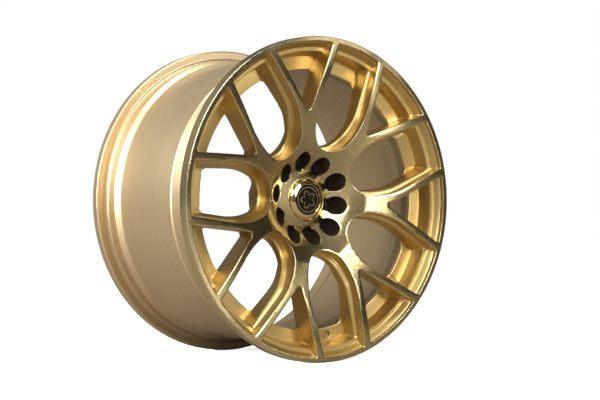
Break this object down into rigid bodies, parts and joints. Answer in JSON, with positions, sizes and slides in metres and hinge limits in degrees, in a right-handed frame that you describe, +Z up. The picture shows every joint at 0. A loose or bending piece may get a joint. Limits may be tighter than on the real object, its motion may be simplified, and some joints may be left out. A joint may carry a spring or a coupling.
{
  "type": "forged racing wheel rim",
  "caption": "Wide motorsport wheel rim: forged face with split spokes and a stepped lip, welded to a spun barrel, with pressed lug seats on two circles and a push-in centre cap.",
  "frame": {"origin": "centre of the hub bore in the plane of the mounting face that bolts to the car's hub", "axes": "+Y along the wheel's axle towards the car, so the styled face looks to -Y; +Z up; +X to the right of someone who looks at the face"},
  "size_m": [0.4966, 0.2774, 0.4966],
  "materials": {
    "gold_face": "gold tinted clear coat over a machined face, glossy painted walls",
    "champagne_barrel": "satin metallic paint over a turned surface",
    "weld_bead": "satin metallic paint over the weld",
    "lug_seat_steel": "dark bronze, turned",
    "cap_black_plastic": "moulded, fine grain",
    "cap_gold_chrome": "polished gold",
    "emblem_black_gloss": "domed gloss resin with a faint gold ring",
    "spring_steel": "drawn wire"
  },
  "bodies": {
    "wheel": {"forged_face": "gold_face", "spun_barrel": "champagne_barrel", "well_weld": "weld_bead", "lug_seats_wide": "lug_seat_steel", "lug_seats_narrow": "lug_seat_steel"},
    "centre_cap": {"cap_shell": "cap_black_plastic", "cap_bezel": "cap_gold_chrome", "cap_emblem": "emblem_black_gloss", "cap_retaining_ring": "spring_steel"}
  },
  "joints": [
    {"name": "cap_pull", "type": "slide", "parent": "wheel", "child": "centre_cap", "axis": [0, -1, 0], "range_m": [0, 0.03]}
  ]
}
